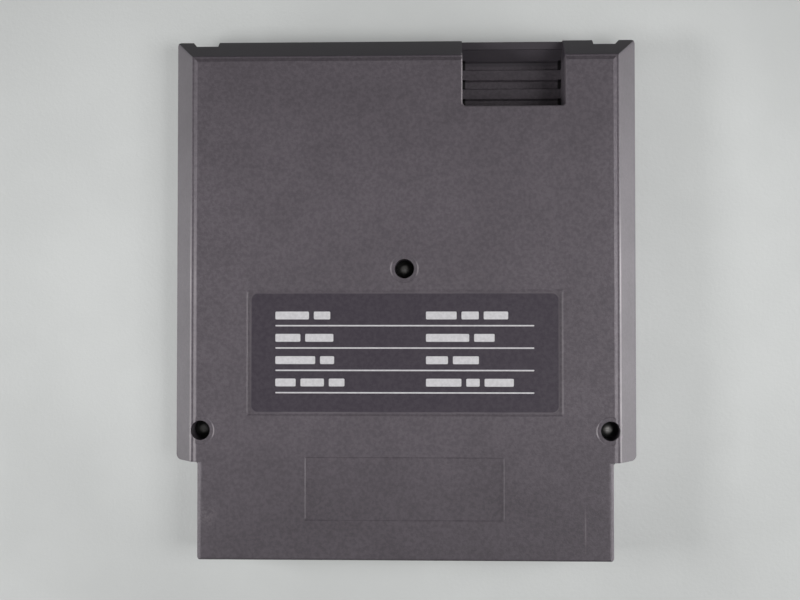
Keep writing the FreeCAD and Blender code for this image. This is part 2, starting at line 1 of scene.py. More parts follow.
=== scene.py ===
import bpy
import json
import math
import numpy as np
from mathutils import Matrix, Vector


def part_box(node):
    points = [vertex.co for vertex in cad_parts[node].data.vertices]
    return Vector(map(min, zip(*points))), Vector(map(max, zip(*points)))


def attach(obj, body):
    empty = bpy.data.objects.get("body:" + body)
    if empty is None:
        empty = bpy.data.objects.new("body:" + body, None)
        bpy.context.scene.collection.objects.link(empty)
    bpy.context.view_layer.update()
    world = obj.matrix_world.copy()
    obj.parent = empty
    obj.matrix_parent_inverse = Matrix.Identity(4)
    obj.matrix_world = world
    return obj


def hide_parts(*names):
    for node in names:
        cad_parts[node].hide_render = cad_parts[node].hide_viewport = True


# Game cartridge lying on its front face, seen from straight above its back.
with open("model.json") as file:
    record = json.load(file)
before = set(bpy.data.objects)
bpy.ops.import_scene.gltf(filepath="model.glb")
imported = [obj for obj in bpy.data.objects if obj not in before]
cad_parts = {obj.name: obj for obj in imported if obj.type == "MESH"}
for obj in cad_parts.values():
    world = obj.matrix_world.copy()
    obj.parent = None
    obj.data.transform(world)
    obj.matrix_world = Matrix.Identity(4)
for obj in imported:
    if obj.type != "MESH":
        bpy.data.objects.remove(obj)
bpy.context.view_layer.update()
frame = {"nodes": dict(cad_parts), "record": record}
nodes = frame["nodes"]
mm = 0.001
print("frame loaded:", len(nodes), "nodes")


# A display colour of 0 to 255 as scene-linear: the inverse of the sRGB curve.
def tone(red, green, blue):
    shown = np.array([red, green, blue]) / 255
    linear = np.where(shown <= 0.04045, shown / 12.92, ((shown + 0.055) / 1.055) ** 2.4)
    return tuple(float(c) for c in linear) + (1.0,)


# Camera

viewpoint = {
    "place": (7.5 * mm, -6.9 * mm, 305.5 * mm),
    "tilt": (1.19, 1.71, 0.0),  # degrees about X, Y and Z, from straight down
    "focal": 1132.2,  # in pixels of the picture
    "pictureWidth": 800,
    "sensor": 36.0,
    "clip": (0.01, 20.0),
}


# A camera whose lens in millimetres is the focal length in pixels times the sensor's width over
# the picture's.
def addCamera(v):
    data = bpy.data.cameras.new("camera")
    data.sensor_width = v["sensor"]
    data.lens = v["focal"] * v["sensor"] / v["pictureWidth"]
    data.clip_start, data.clip_end = v["clip"]
    camera = bpy.data.objects.new("camera", data)
    camera.location = v["place"]
    camera.rotation_euler = [math.radians(a) for a in v["tilt"]]
    bpy.context.scene.collection.objects.link(camera)
    bpy.context.scene.camera = camera


addCamera(viewpoint)
bpy.context.scene.view_settings.view_transform = "Standard"
print("camera placed")


# Light: lamps on both sides as on a copy stand, one of them steep, a strip above and a little from the front

softBoxes = {
    "rightLow": {"place": (0.36, -0.015, 0.045), "aim": (0.0, -0.01, 0.0), "size": (0.16, 0.08),
                 "watts": 1.52},
    "rightSteep": {"place": (0.25, -0.045, 0.4), "aim": (0.0, -0.02, 0.0), "size": (0.2, 0.2),
                   "watts": 0.94},
    "leftLow": {"place": (-0.36, -0.035, 0.045), "aim": (0.0, -0.01, 0.0), "size": (0.16, 0.08),
                "watts": 0.65},
    "leftHigh": {"place": (-0.36, -0.035, 0.25), "aim": (0.0, -0.01, 0.0), "size": (0.16, 0.08),
                 "watts": 1.07},
    "strip": {"place": (0.0, -0.02, 0.42), "aim": (0.0, -0.02, 0.0), "size": (0.6, 0.06),
              "watts": 0.12},
    "front": {"place": (0.0, -0.4, 0.5), "aim": (0.0, 0.0, 0.0), "size": (0.6, 0.3),
              "watts": 0.45},
}
worldLight = {"colour": (1.0, 1.0, 1.0, 1.0), "strength": 0.02, "seenColour": tone(187, 189, 188)}


# A rectangular lamp at its place, turned so that its -Z axis points at its aim.
def addSoftBox(name, box):
    data = bpy.data.lights.new("soft_box_" + name, "AREA")
    data.shape = "RECTANGLE"
    data.size, data.size_y = box["size"]
    data.energy = box["watts"]
    lamp = bpy.data.objects.new("soft_box_" + name, data)
    lamp.location = box["place"]
    lamp.rotation_euler = (Vector(box["aim"]) - lamp.location).to_track_quat("-Z", "Y").to_euler()
    bpy.context.scene.collection.objects.link(lamp)


# A faint even light, and a pale backdrop for the camera alone.
def addWorld(w):
    world = bpy.data.worlds.new("room")
    world.use_nodes = True
    tree = world.node_tree
    faint = tree.nodes["Background"]
    faint.inputs["Color"].default_value = w["colour"]
    faint.inputs["Strength"].default_value = w["strength"]
    backdrop = tree.nodes.new("ShaderNodeBackground")
    backdrop.inputs["Color"].default_value = w["seenColour"]
    blend = tree.nodes.new("ShaderNodeMixShader")
    tree.links.new(tree.nodes.new("ShaderNodeLightPath").outputs["Is Camera Ray"], blend.inputs["Fac"])
    tree.links.new(faint.outputs["Background"], blend.inputs[1])
    tree.links.new(backdrop.outputs["Background"], blend.inputs[2])
    tree.links.new(blend.outputs["Shader"], tree.nodes["World Output"].inputs["Surface"])
    bpy.context.scene.world = world


for name, box in softBoxes.items():
    addSoftBox(name, box)
addWorld(worldLight)
print("lights placed")


# Materials

# A new material: its tree, its Principled shader and Object coordinates.
def newMaterial(name, metallic=0.0, specular=0.5):
    material = bpy.data.materials.new(name)
    material.use_nodes = True
    tree = material.node_tree
    shader = tree.nodes["Principled BSDF"]
    shader.inputs["Metallic"].default_value = metallic
    shader.inputs["Specular IOR Level"].default_value = specular
    place = tree.nodes.new("ShaderNodeTexCoord").outputs["Object"]
    return material, tree, shader, place


# Links a socket to an input, or sets a plain number or colour on the input.
def feed(tree, value, socket):
    if isinstance(value, bpy.types.NodeSocket):
        tree.links.new(value, socket)
    else:
        socket.default_value = value


# One operation on two values, such as their sum or product.
def mathNode(tree, operation, first, second=0.0):
    node = tree.nodes.new("ShaderNodeMath")
    node.operation = operation
    feed(tree, first, node.inputs[0])
    feed(tree, second, node.inputs[1])
    return node.outputs["Value"]


# A smooth step of a value between two limits, carried over to two other limits.
def rangeNode(tree, value, fromLow, fromHigh, toLow, toHigh):
    node = tree.nodes.new("ShaderNodeMapRange")
    node.interpolation_type = "SMOOTHSTEP"
    feed(tree, value, node.inputs["Value"])
    for key, number in zip(("From Min", "From Max", "To Min", "To Max"), (fromLow, fromHigh, toLow, toHigh)):
        node.inputs[key].default_value = number
    return node.outputs["Result"]


# One on a line at the centre, falling to nothing at the half width on both sides.
def bandNode(tree, value, centre, halfWidth):
    distance = mathNode(tree, "ABSOLUTE", mathNode(tree, "SUBTRACT", value, centre))
    return rangeNode(tree, distance, 0.0, halfWidth, 1.0, 0.0)


# The first colour times what the share leaves of one, plus the second times the share.
def mixColours(tree, share, first, second):
    mix = tree.nodes.new("ShaderNodeMix")
    mix.data_type = "RGBA"
    feed(tree, share, mix.inputs["Factor"])
    feed(tree, first, mix.inputs["A"])
    feed(tree, second, mix.inputs["B"])
    return mix.outputs["Result"]


# A colour times a share.
def scaleColour(tree, colour, share):
    node = tree.nodes.new("ShaderNodeVectorMath")
    node.operation = "SCALE"
    feed(tree, colour, node.inputs["Vector"])
    feed(tree, share, node.inputs["Scale"])
    return node.outputs["Vector"]


# The X, Y and Z parts of a place.
def splitAxes(tree, place):
    axes = tree.nodes.new("ShaderNodeSeparateXYZ")
    tree.links.new(place, axes.inputs["Vector"])
    return axes.outputs


# Tilts the shader's normal by the slope of a height times the depth.
def addBump(tree, height, shader, depth):
    bump = tree.nodes.new("ShaderNodeBump")
    bump.inputs["Distance"].default_value = depth
    tree.links.new(height, bump.inputs["Height"])
    tree.links.new(bump.outputs["Normal"], shader.inputs["Normal"])


surfaceGrain = {
    "layers": {  # the share of the scale, the noise's detail, and the limits that its values are spread from
        "Height": (1.0, 3.0, 0.25, 0.75),
        "Speckle": (0.55, 2.0, 0.3, 0.7),
        "Blotch": (0.03, 3.0, 0.3, 0.7),
    },
    "roughness": 0.6,
}


# Grain of a surface from three noises: a fine height, a coarser speckle and a broad blotch.
def makeGrainGroup(g):
    group = bpy.data.node_groups.new("surface_grain", "ShaderNodeTree")
    group.interface.new_socket("Place", in_out="INPUT", socket_type="NodeSocketVector")
    group.interface.new_socket("Scale", in_out="INPUT", socket_type="NodeSocketFloat")
    enter = group.nodes.new("NodeGroupInput")
    leave = group.nodes.new("NodeGroupOutput")
    for name, (share, detail, low, high) in g["layers"].items():
        group.interface.new_socket(name, in_out="OUTPUT", socket_type="NodeSocketFloat")
        noise = group.nodes.new("ShaderNodeTexNoise")
        noise.inputs["Detail"].default_value = detail
        noise.inputs["Roughness"].default_value = g["roughness"]
        group.links.new(enter.outputs["Place"], noise.inputs["Vector"])
        group.links.new(mathNode(group, "MULTIPLY", enter.outputs["Scale"], share), noise.inputs["Scale"])
        group.links.new(rangeNode(group, noise.outputs["Fac"], low, high, 0.0, 1.0), leave.inputs[name])
    return group


grainGroup = makeGrainGroup(surfaceGrain)


# The grain at one scale. A stretch above 1 along an axis packs the grain tighter along it.
def useGrain(tree, place, scale, stretch=(1.0, 1.0, 1.0)):
    mapping = tree.nodes.new("ShaderNodeMapping")
    mapping.inputs["Scale"].default_value = stretch
    tree.links.new(place, mapping.inputs["Vector"])
    node = tree.nodes.new("ShaderNodeGroup")
    node.node_tree = grainGroup
    node.inputs["Scale"].default_value = scale
    tree.links.new(mapping.outputs["Vector"], node.inputs["Place"])
    return node.outputs


# The three screws stand at the corners of the box that their solids fill, one head's radius in.
screwLow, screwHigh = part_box("case_screws")
headRadius = 2.25 * mm
screwPlaces = [(0.0, screwHigh[1] - headRadius), (screwLow[0] + headRadius, screwLow[1] + headRadius),
               (screwHigh[0] - headRadius, screwLow[1] + headRadius)]

casePlastic = {
    "dark": tone(84, 78, 84),
    "light": tone(95, 89, 95),
    "bevelTones": (tone(88, 84, 88), tone(92, 88, 92)),
    "specular": 0.25,
    "roughness": (0.5, 0.62),  # over the grain of the panels
    "bevelRoughness": 0.5,
    "bevelStart": (54.6 * mm, 61.8 * mm),  # from the middle, along X and Y
    "bevelBlend": 0.4 * mm,
    "mitreBlend": (-1.1 * mm, 0.6 * mm),
    "seam": 8.6 * mm,
    "topShadeStart": 61.3 * mm,
    "topShadeBlend": 0.9 * mm,
    "topShade": tone(64, 59, 66),  # painted shade on the top bevel, darker than the rest of the case
    "topShadeInRecess": 0.6,  # of the painted shade, on the front half inside the recess
    "topEndShade": (25.0 * mm, 55.0 * mm, 0.9),  # painted shade: the panel darkens towards both ends, to this share
    "plugEndShade": (-28.0 * mm, -60.0 * mm, 0.79),
    "grain": 2100.0,
    "bumpDepth": 0.03 * mm,
    "bevelBump": 0.3,
    # the colour of the painted highlights, and of the worn scratch and smudge
    "highlightAndWear": tone(178, 171, 174),
    "edgeHighlightAlong": (2.0 * mm, 32.0 * mm),  # the painted highlights on the edges fade out between these places along Y
    "crest": (54.98 * mm, 0.36 * mm),  # where the side bevels start, and half the width of the painted highlight
    "crestShare": 0.5,
    "panelEdge": (53.75 * mm, 0.6 * mm),
    "panelEdgeShares": (0.28, 0.08),  # of the painted highlight, on the left and on the right
    "shoulder": (-42.6 * mm, -41.6 * mm),  # the edges carry painted highlights above this place along Y
    "edgeHighlightLines": [  # painted highlights along edges: middle and half width along X, low and high end along Y, share
        (-40.2 * mm, 0.3 * mm, -30.0 * mm, 1.3 * mm, 0.2),
        (40.2 * mm, 0.3 * mm, -30.0 * mm, 1.3 * mm, 0.2),
        (-25.3 * mm, 0.22 * mm, -56.8 * mm, -41.2 * mm, 0.2),
        (25.3 * mm, 0.22 * mm, -56.8 * mm, -41.2 * mm, 0.1),
        (14.7 * mm, 0.32 * mm, 48.9 * mm, 67.0 * mm, 0.45),
    ],
    "lineEnd": 0.4 * mm,
    "ring": (3.45 * mm, 0.3 * mm),
    "ringFacing": (0.8, 1.0),  # of the distance along X, from no highlight to full highlight
    "ringShare": 0.3,
    "patchy": (0.55, 1.0),  # of the painted highlights, over the blotches
    "blotch": (0.95, 1.05),  # of the colour, over the blotches
    "softStep": 0.1 * mm,  # at the edges of the recess and its grooves
    "face": 15.6 * mm,  # painted highlights and wear lie above this height
    "scratchX": (45.8 * mm, 0.3 * mm),
    "scratchY": (-59.0 * mm, 8.0 * mm),
    "scratchShare": 0.16,
    "smudge": (-50.8 * mm, -55.5 * mm, 4.0 * mm),
    "smudgeShare": 0.08,
    "grooveBands": (61.85 * mm, 5.05 * mm, 1.2 * mm),  # a middle along Y, the pitch and half a groove's width
    "grooveFrom": 48.0 * mm,
    "grooveHeights": (2.8 * mm, 6.5 * mm),
    "grooveEnds": [(14.6 * mm, 16.0 * mm), (40.5 * mm, 41.4 * mm)],  # along X
    "recess": (14.6 * mm, 41.4 * mm),
    "gapShadeShare": 0.12,  # painted shade: the share of the colour that is left where a groove runs under the recess's side
}


# The distance from a screw's axis, by the sum of squares, and the length of it along X.
def fromScrew(tree, axes, place):
    alongX, alongY = (mathNode(tree, "SUBTRACT", axes[axis], p) for axis, p in zip("XY", place))
    squares = [mathNode(tree, "POWER", along, 2.0) for along in (alongX, alongY)]
    return mathNode(tree, "SQRT", mathNode(tree, "ADD", *squares)), mathNode(tree, "ABSOLUTE", alongX)


# A painted highlight ring about a screw, one where it faces left or right: the distance from the axis lies in
# the ring, and the part of it along X is most of it.
def ringHighlight(tree, axes, place, c):
    distance, alongX = fromScrew(tree, axes, place)
    facing = rangeNode(tree, mathNode(tree, "DIVIDE", alongX, distance), *c["ringFacing"], 0.0, 1.0)
    return mathNode(tree, "MULTIPLY", bandNode(tree, distance, *c["ring"]), facing)


# One between two limits, with a soft step of the given width at both.
def betweenNode(tree, value, low, high, step):
    return mathNode(tree, "MULTIPLY", rangeNode(tree, value, low, low + step, 0.0, 1.0),
                    rangeNode(tree, value, high - step, high, 1.0, 0.0))


# A painted highlight line along Y with the given share: a band across X between two ends.
def edgeHighlightLine(tree, axes, middle, halfWidth, low, high, share, lineEnd):
    line = mathNode(tree, "MULTIPLY", bandNode(tree, axes["X"], middle, halfWidth),
                    betweenNode(tree, axes["Y"], low, high, lineEnd))
    return mathNode(tree, "MULTIPLY", line, share)


# Painted shade where the floor grooves of the recess run on under its sides: the distance to the nearest
# groove, a zigzag along Y, is under half a groove, and X lies at one end.
def grooveGapShade(tree, axes, c):
    middle, pitch, half = c["grooveBands"]
    step = c["softStep"]
    toGroove = mathNode(tree, "PINGPONG", mathNode(tree, "SUBTRACT", axes["Y"], middle), pitch / 2)
    inGroove = rangeNode(tree, toGroove, half - step, half + step, 1.0, 0.0)
    inRecess = mathNode(tree, "MULTIPLY", mathNode(tree, "GREATER_THAN", axes["Y"], c["grooveFrom"]),
                        betweenNode(tree, axes["Z"], *c["grooveHeights"], step))
    ends = [betweenNode(tree, axes["X"], *end, step) for end in c["grooveEnds"]]
    return mathNode(tree, "MULTIPLY", mathNode(tree, "MULTIPLY", inGroove, inRecess),
                    mathNode(tree, "ADD", *ends))


# Painted highlights and wear: the sum of highlights on crests of the bevels, edges of the panel, lines and
# rings, and of a worn scratch and a smudge, on the back face only.
def paintedHighlightsAndWear(tree, axes, across, grain, c):
    edgeHighlightReach = mathNode(tree, "MULTIPLY", rangeNode(tree, axes["Y"], *c["edgeHighlightAlong"], 1.0, 0.0),
                      rangeNode(tree, axes["Y"], *c["shoulder"], 0.0, 1.0))
    patchy = rangeNode(tree, grain["Blotch"], 0.0, 1.0, *c["patchy"])
    onLeft = mathNode(tree, "LESS_THAN", axes["X"], 0.0)
    leftShare, rightShare = c["panelEdgeShares"]
    edgeShare = mathNode(tree, "ADD", rightShare, mathNode(tree, "MULTIPLY", onLeft, leftShare - rightShare))
    crests = mathNode(tree, "MULTIPLY", bandNode(tree, across, *c["crest"]), c["crestShare"])
    panelEdges = mathNode(tree, "MULTIPLY", bandNode(tree, across, *c["panelEdge"]), edgeShare)
    edges = mathNode(tree, "MULTIPLY", mathNode(tree, "ADD", crests, panelEdges),
                     mathNode(tree, "MULTIPLY", edgeHighlightReach, patchy))
    rings = [ringHighlight(tree, axes, place, c) for place in screwPlaces]
    rings = mathNode(tree, "MAXIMUM", mathNode(tree, "MAXIMUM", rings[0], rings[1]), rings[2])
    scratch = mathNode(tree, "MULTIPLY", bandNode(tree, axes["X"], *c["scratchX"]),
                       bandNode(tree, axes["Y"], *c["scratchY"]))
    smudgeX, smudgeY, smudgeReach = c["smudge"]
    smudge = mathNode(tree, "MULTIPLY", bandNode(tree, axes["X"], smudgeX, smudgeReach),
                      bandNode(tree, axes["Y"], smudgeY, smudgeReach))
    smudge = mathNode(tree, "MULTIPLY", smudge, grain["Speckle"])
    marks = mathNode(tree, "ADD", mathNode(tree, "MULTIPLY", scratch, c["scratchShare"]),
                     mathNode(tree, "MULTIPLY", smudge, c["smudgeShare"]))
    marks = mathNode(tree, "ADD", marks, mathNode(tree, "MULTIPLY", rings, c["ringShare"]))
    for line in c["edgeHighlightLines"]:
        lineHighlight = mathNode(tree, "MULTIPLY", edgeHighlightLine(tree, axes, *line, c["lineEnd"]), patchy)
        marks = mathNode(tree, "ADD", marks, lineHighlight)
    onFace = mathNode(tree, "GREATER_THAN", axes["Z"], c["face"])
    return mathNode(tree, "MULTIPLY", mathNode(tree, "ADD", edges, marks), onFace)


# Grey plastic: speckled panels, smoother bevels, painted shade on the top bevel as far as its mitres, painted
# shade at the groove ends and towards both ends of the panels, painted highlights on edges and rings, and
# worn places.
def makeCasePlastic(c):
    material, tree, shader, place = newMaterial("case_plastic", specular=c["specular"])
    axes = splitAxes(tree, place)
    grain = useGrain(tree, place, c["grain"])
    across = mathNode(tree, "ABSOLUTE", axes["X"])
    pastX = mathNode(tree, "SUBTRACT", across, c["bevelStart"][0])
    pastY = mathNode(tree, "SUBTRACT", axes["Y"], c["bevelStart"][1])
    sideBevel = rangeNode(tree, pastX, 0.0, c["bevelBlend"], 0.0, 1.0)
    topBevel = rangeNode(tree, pastY, 0.0, c["bevelBlend"], 0.0, 1.0)
    bevel = mathNode(tree, "MAXIMUM", sideBevel, topBevel)
    onBack = mathNode(tree, "GREATER_THAN", axes["Z"], c["seam"])
    mitre = rangeNode(tree, mathNode(tree, "SUBTRACT", pastY, pastX), *c["mitreBlend"], 0.0, 1.0)
    # Painted shade: the top bevel is darkened in colour as far as its mitres, and partly on the front half
    # inside the recess.
    topShadeEnd = rangeNode(tree, axes["Y"], c["topShadeStart"], c["topShadeStart"] + c["topShadeBlend"], 0.0, 1.0)
    inRecess = mathNode(tree, "MULTIPLY", betweenNode(tree, axes["X"], *c["recess"], c["softStep"]),
                        mathNode(tree, "GREATER_THAN", axes["Z"], c["grooveHeights"][0]))
    topShadeSide = mathNode(tree, "MAXIMUM", onBack, mathNode(tree, "MULTIPLY", inRecess, c["topShadeInRecess"]))
    topShade = mathNode(tree, "MULTIPLY", mathNode(tree, "MULTIPLY", topShadeEnd, mitre), topShadeSide)

    panelColour = mixColours(tree, grain["Speckle"], c["dark"], c["light"])
    colour = mixColours(tree, bevel, panelColour, mixColours(tree, grain["Speckle"], *c["bevelTones"]))
    colour = scaleColour(tree, colour, rangeNode(tree, grain["Blotch"], 0.0, 1.0, *c["blotch"]))
    # painted shade on the top bevel
    colour = mixColours(tree, topShade, colour, c["topShade"])
    # painted shade at the groove ends, where the grooves run under the recess's sides
    gapShade = grooveGapShade(tree, axes, c)
    colour = scaleColour(tree, colour, rangeNode(tree, gapShade, 0.0, 1.0, 1.0, c["gapShadeShare"]))
    # painted shade towards both ends of the panel
    for start, finish, share in (c["topEndShade"], c["plugEndShade"]):
        sign = math.copysign(1.0, finish - start)
        along = mathNode(tree, "MULTIPLY", axes["Y"], sign)
        colour = scaleColour(tree, colour, rangeNode(tree, along, sign * start, sign * finish, 1.0, share))
    # painted highlights on edges and rings, and a worn scratch and smudge
    highlightAndWear = paintedHighlightsAndWear(tree, axes, across, grain, c)
    tree.links.new(mixColours(tree, highlightAndWear, colour, c["highlightAndWear"]), shader.inputs["Base Color"])

    panelRoughness = rangeNode(tree, grain["Height"], 0.0, 1.0, *c["roughness"])
    toBevel = mathNode(tree, "SUBTRACT", c["bevelRoughness"], panelRoughness)
    roughness = mathNode(tree, "ADD", panelRoughness, mathNode(tree, "MULTIPLY", toBevel, bevel))
    tree.links.new(roughness, shader.inputs["Roughness"])
    bumpShare = rangeNode(tree, bevel, 0.0, 1.0, 1.0, c["bevelBump"])
    addBump(tree, mathNode(tree, "MULTIPLY", grain["Height"], bumpShare), shader, c["bumpDepth"])
    return material


labelLow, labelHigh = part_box("rear_label")
stickerSheet = {
    "dark": tone(59, 53, 62),
    "light": tone(67, 61, 69),
    "specular": 0.25,
    "edge": tone(104, 98, 103),
    "edgeWidth": 0.4 * mm,
    "cornerRadius": 1.9 * mm,
    "edgeShare": (0.5, 1.0),  # of the pale edge, patchy along it
    "roughness": (0.48, 0.6),
    "grain": 1900.0,
    "bumpDepth": 0.012 * mm,
}


# Dark printed sheet with a faint fibre, paler along its cut edge. The distance to the edge is that of a
# rounded rectangle: the corner radius less the length past the inset corner, or less the nearer side's
# when inside both.
def makeSticker(s):
    material, tree, shader, place = newMaterial("sticker", specular=s["specular"])
    grain = useGrain(tree, place, s["grain"])
    middle = [(low + high) / 2 for low, high in zip(labelLow[:2], labelHigh[:2])]
    inset = [(high - low) / 2 - s["cornerRadius"] for low, high in zip(labelLow[:2], labelHigh[:2])]
    axes = splitAxes(tree, place)
    outwards = [mathNode(tree, "ABSOLUTE", mathNode(tree, "SUBTRACT", axes[axis], m))
                for axis, m in zip("XY", middle)]
    pastX, pastY = (mathNode(tree, "SUBTRACT", length, i) for length, i in zip(outwards, inset))
    squares = [mathNode(tree, "POWER", mathNode(tree, "MAXIMUM", past, 0.0), 2.0) for past in (pastX, pastY)]
    outside = mathNode(tree, "SQRT", mathNode(tree, "ADD", *squares))
    inside = mathNode(tree, "MINIMUM", mathNode(tree, "MAXIMUM", pastX, pastY), 0.0)
    toEdge = mathNode(tree, "SUBTRACT", s["cornerRadius"], mathNode(tree, "ADD", outside, inside))
    rim = mathNode(tree, "MULTIPLY", rangeNode(tree, toEdge, 0.0, s["edgeWidth"], 1.0, 0.0),
                   rangeNode(tree, grain["Blotch"], 0.0, 1.0, *s["edgeShare"]))
    colour = mixColours(tree, grain["Speckle"], s["dark"], s["light"])
    tree.links.new(mixColours(tree, rim, colour, s["edge"]), shader.inputs["Base Color"])
    tree.links.new(rangeNode(tree, grain["Blotch"], 0.0, 1.0, *s["roughness"]), shader.inputs["Roughness"])
    addBump(tree, grain["Height"], shader, s["bumpDepth"])
    return material


screwSteel = {
    "dark": tone(122, 121, 119),
    "light": tone(160, 158, 155),
    "metallic": 0.5,
    "roughness": (0.42, 0.54),
    "grain": 2600.0,
    "bumpDepth": 0.008 * mm,
    "crown": (0.3 * mm, 1.4 * mm),  # painted light: a bright crown inside the first radius, painted shade outside the second
    "shadedShare": 0.12,
}


# Plated steel with painted shade away from the axis of the nearest screw, leaving a bright crown.
def makeScrewSteel(s):
    material, tree, shader, place = newMaterial("screw_steel", metallic=s["metallic"])
    axes = splitAxes(tree, place)
    grain = useGrain(tree, place, s["grain"])
    first, second, third = (fromScrew(tree, axes, screwPlace)[0] for screwPlace in screwPlaces)
    nearest = mathNode(tree, "MINIMUM", mathNode(tree, "MINIMUM", first, second), third)
    colour = mixColours(tree, grain["Speckle"], s["dark"], s["light"])
    # painted shade on the head away from its axis
    colour = scaleColour(tree, colour, rangeNode(tree, nearest, *s["crown"], 1.0, s["shadedShare"]))
    tree.links.new(colour, shader.inputs["Base Color"])
    tree.links.new(rangeNode(tree, grain["Blotch"], 0.0, 1.0, *s["roughness"]), shader.inputs["Roughness"])
    addBump(tree, grain["Height"], shader, s["bumpDepth"])
    return material


boardLaminate = {
    "lacquer": (tone(20, 70, 36), tone(28, 84, 44)),
    "trace": tone(46, 112, 60),
    "cut": tone(152, 146, 98),  # bare laminate at the card edge
    "cutWidth": 0.12 * mm,
    "pitch": 2.5 * mm,
    "halfTrace": (0.35 * mm, 0.455 * mm),  # full inside the first, gone outside the second
    "cells": 90.0,
    "roughness": (0.25, 0.4),
    "grain": 800.0,
    "bumpDepth": 0.03 * mm,
}


# Green lacquer over copper: lines at one pitch, along X or Y by the cell that they cross, and a bare
# card edge.
def makeBoard(b):
    material, tree, shader, place = newMaterial("board_laminate")
    axes = splitAxes(tree, place)
    grain = useGrain(tree, place, b["grain"])
    lines = {}
    for axis in ("X", "Y"):
        toLine = mathNode(tree, "PINGPONG", axes[axis], b["pitch"] / 2)
        lines[axis] = rangeNode(tree, toLine, *b["halfTrace"], 1.0, 0.0)
    cells = tree.nodes.new("ShaderNodeTexVoronoi")
    cells.inputs["Scale"].default_value = b["cells"]
    tree.links.new(place, cells.inputs["Vector"])
    turned = mathNode(tree, "GREATER_THAN", cells.outputs["Color"], 0.5)
    along = mathNode(tree, "MULTIPLY", lines["X"], turned)
    acrossLines = mathNode(tree, "MULTIPLY", lines["Y"], mathNode(tree, "SUBTRACT", 1.0, turned))
    traces = mathNode(tree, "ADD", along, acrossLines)
    lacquer = mixColours(tree, grain["Blotch"], *b["lacquer"])
    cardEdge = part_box("circuit_board")[0][1]
    cut = rangeNode(tree, axes["Y"], cardEdge + b["cutWidth"] / 2, cardEdge + b["cutWidth"], 1.0, 0.0)
    colour = mixColours(tree, cut, mixColours(tree, traces, lacquer, b["trace"]), b["cut"])
    tree.links.new(colour, shader.inputs["Base Color"])
    tree.links.new(rangeNode(tree, grain["Speckle"], 0.0, 1.0, *b["roughness"]), shader.inputs["Roughness"])
    addBump(tree, traces, shader, b["bumpDepth"])
    return material


grainedLooks = {
    "contact_gold": {"dark": tone(190, 148, 72), "light": tone(232, 194, 108), "roughness": (0.28, 0.42),
                     "metallic": 0.7, "grain": 900.0, "bumpDepth": 0.004 * mm, "stretch": (3.0, 0.12, 1.0)},
    "chip_resin": {"dark": tone(24, 24, 26), "light": tone(40, 39, 41), "roughness": (0.5, 0.65),
                   "grain": 3000.0, "bumpDepth": 0.012 * mm},
    "tinned_metal": {"dark": tone(160, 160, 156), "light": tone(205, 205, 200), "roughness": (0.28, 0.42),
                     "metallic": 1.0, "grain": 1500.0, "bumpDepth": 0.004 * mm},
    "can_aluminium": {"dark": tone(165, 165, 170), "light": tone(200, 200, 205), "roughness": (0.24, 0.36),
                      "metallic": 1.0, "grain": 1200.0, "bumpDepth": 0.003 * mm, "stretch": (0.1, 1.0, 1.0)},
    "bung_rubber": {"dark": tone(22, 22, 22), "light": tone(38, 37, 36), "roughness": (0.65, 0.8),
                    "grain": 1800.0, "bumpDepth": 0.01 * mm},
    "disc_coating": {"dark": tone(168, 100, 38), "light": tone(204, 136, 62), "roughness": (0.25, 0.4),
                     "grain": 700.0, "bumpDepth": 0.02 * mm},
    "label_ink": {"dark": tone(196, 194, 197), "light": tone(208, 206, 209), "roughness": (0.42, 0.55),
                  "grain": 2400.0, "bumpDepth": 0.004 * mm},
}


# A finish whose colour, roughness and height all follow one grain.
def makeGrained(name, look):
    material, tree, shader, place = newMaterial(name, metallic=look.get("metallic", 0.0))
    grain = useGrain(tree, place, look["grain"], look.get("stretch", (1.0, 1.0, 1.0)))
    colour = mixColours(tree, grain["Speckle"], look["dark"], look["light"])
    tree.links.new(colour, shader.inputs["Base Color"])
    tree.links.new(rangeNode(tree, grain["Blotch"], 0.0, 1.0, *look["roughness"]), shader.inputs["Roughness"])
    addBump(tree, grain["Height"], shader, look["bumpDepth"])
    return material


finishes = {name: makeGrained(name, look) for name, look in grainedLooks.items()}
finishes["case_plastic"] = makeCasePlastic(casePlastic)
finishes["sticker"] = makeSticker(stickerSheet)
finishes["screw_steel"] = makeScrewSteel(screwSteel)
finishes["board_laminate"] = makeBoard(boardLaminate)
for row in frame["record"]["subparts"]:
    node = nodes[row["node"]]
    node.data.materials.clear()
    node.data.materials.append(finishes[row["material_slot"]])
print("finishes given:", len(finishes))


turnedFaces = {
    "weldReach": 1e-6,
    "smoothBelow": 18.0,  # degrees
}


